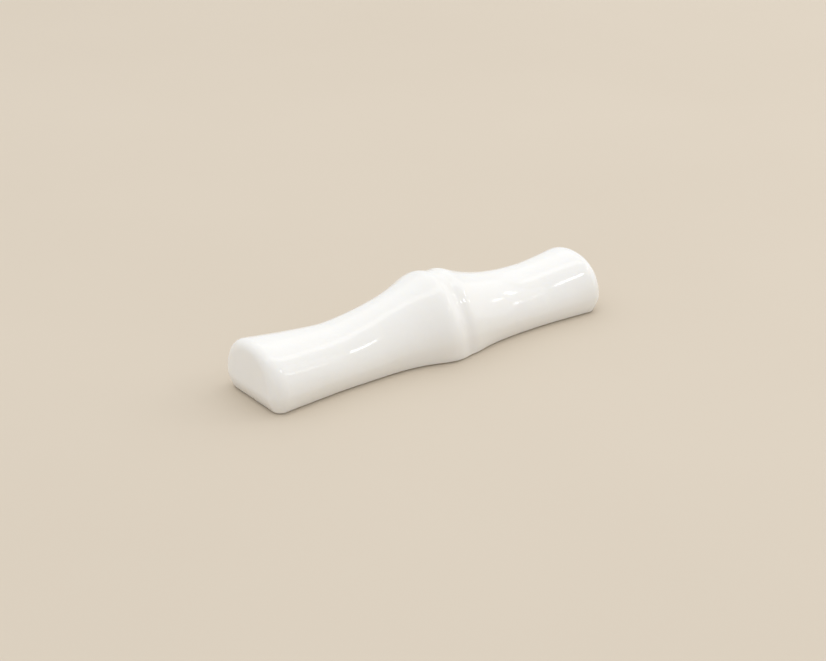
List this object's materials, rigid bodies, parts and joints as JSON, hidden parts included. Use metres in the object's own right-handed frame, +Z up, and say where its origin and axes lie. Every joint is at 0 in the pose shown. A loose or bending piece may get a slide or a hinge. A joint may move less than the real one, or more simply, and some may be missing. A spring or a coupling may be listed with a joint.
{
  "type": "chopstick rest",
  "caption": "Bamboo-shaped glazed porcelain chopstick rest, with a raised grooved node between shallow saddles and a flat bare foot rim.",
  "frame": {"origin": "on the table, under the middle of the stem's length and width", "axes": "+X along the stem from its longer internode to its shorter one, +Z up from the foot to the crown"},
  "size_m": [0.075, 0.0196, 0.0146],
  "materials": {
    "bare_porcelain": "matt fired porcelain",
    "ivory_glaze": "glossy"
  },
  "bodies": {
    "root": {"porcelain_body": "bare_porcelain", "glaze_coat": "ivory_glaze", "base_glaze": "ivory_glaze"}
  },
  "joints": []
}
